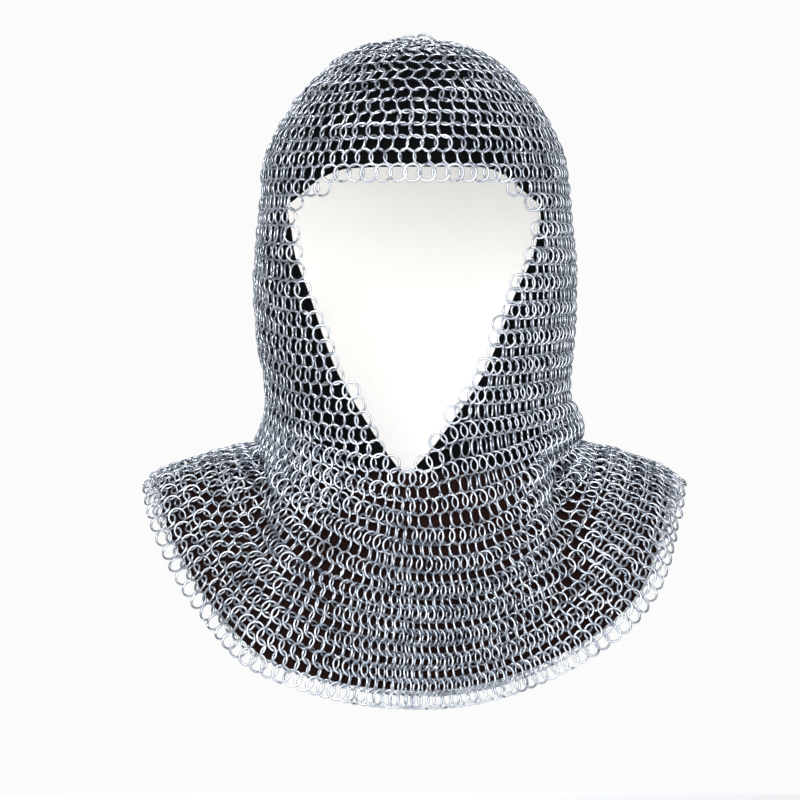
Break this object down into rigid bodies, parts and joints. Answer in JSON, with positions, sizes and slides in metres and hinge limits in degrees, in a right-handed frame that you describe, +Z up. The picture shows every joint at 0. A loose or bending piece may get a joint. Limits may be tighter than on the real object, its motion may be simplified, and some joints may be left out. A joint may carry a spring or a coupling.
{
  "type": "chainmail coif",
  "caption": "Hood of linked steel rings with a V-shaped face opening and a round cape over the shoulders, in its worn form.",
  "frame": {"origin": "where the top of the wearer's head touches the inside of the crown", "axes": "+Z up, -Y out of the face opening, +X to the viewer's right"},
  "size_m": [0.3642, 0.2904, 0.4472],
  "materials": {
    "mail": "bright zinc-plated round wire, butted rings"
  },
  "bodies": {
    "root": {"crown": "mail", "cheek_left": "mail", "cheek_right": "mail", "nape": "mail", "mantle_front_left": "mail", "mantle_front_right": "mail", "mantle_back_right": "mail", "mantle_back_left": "mail"}
  },
  "joints": []
}
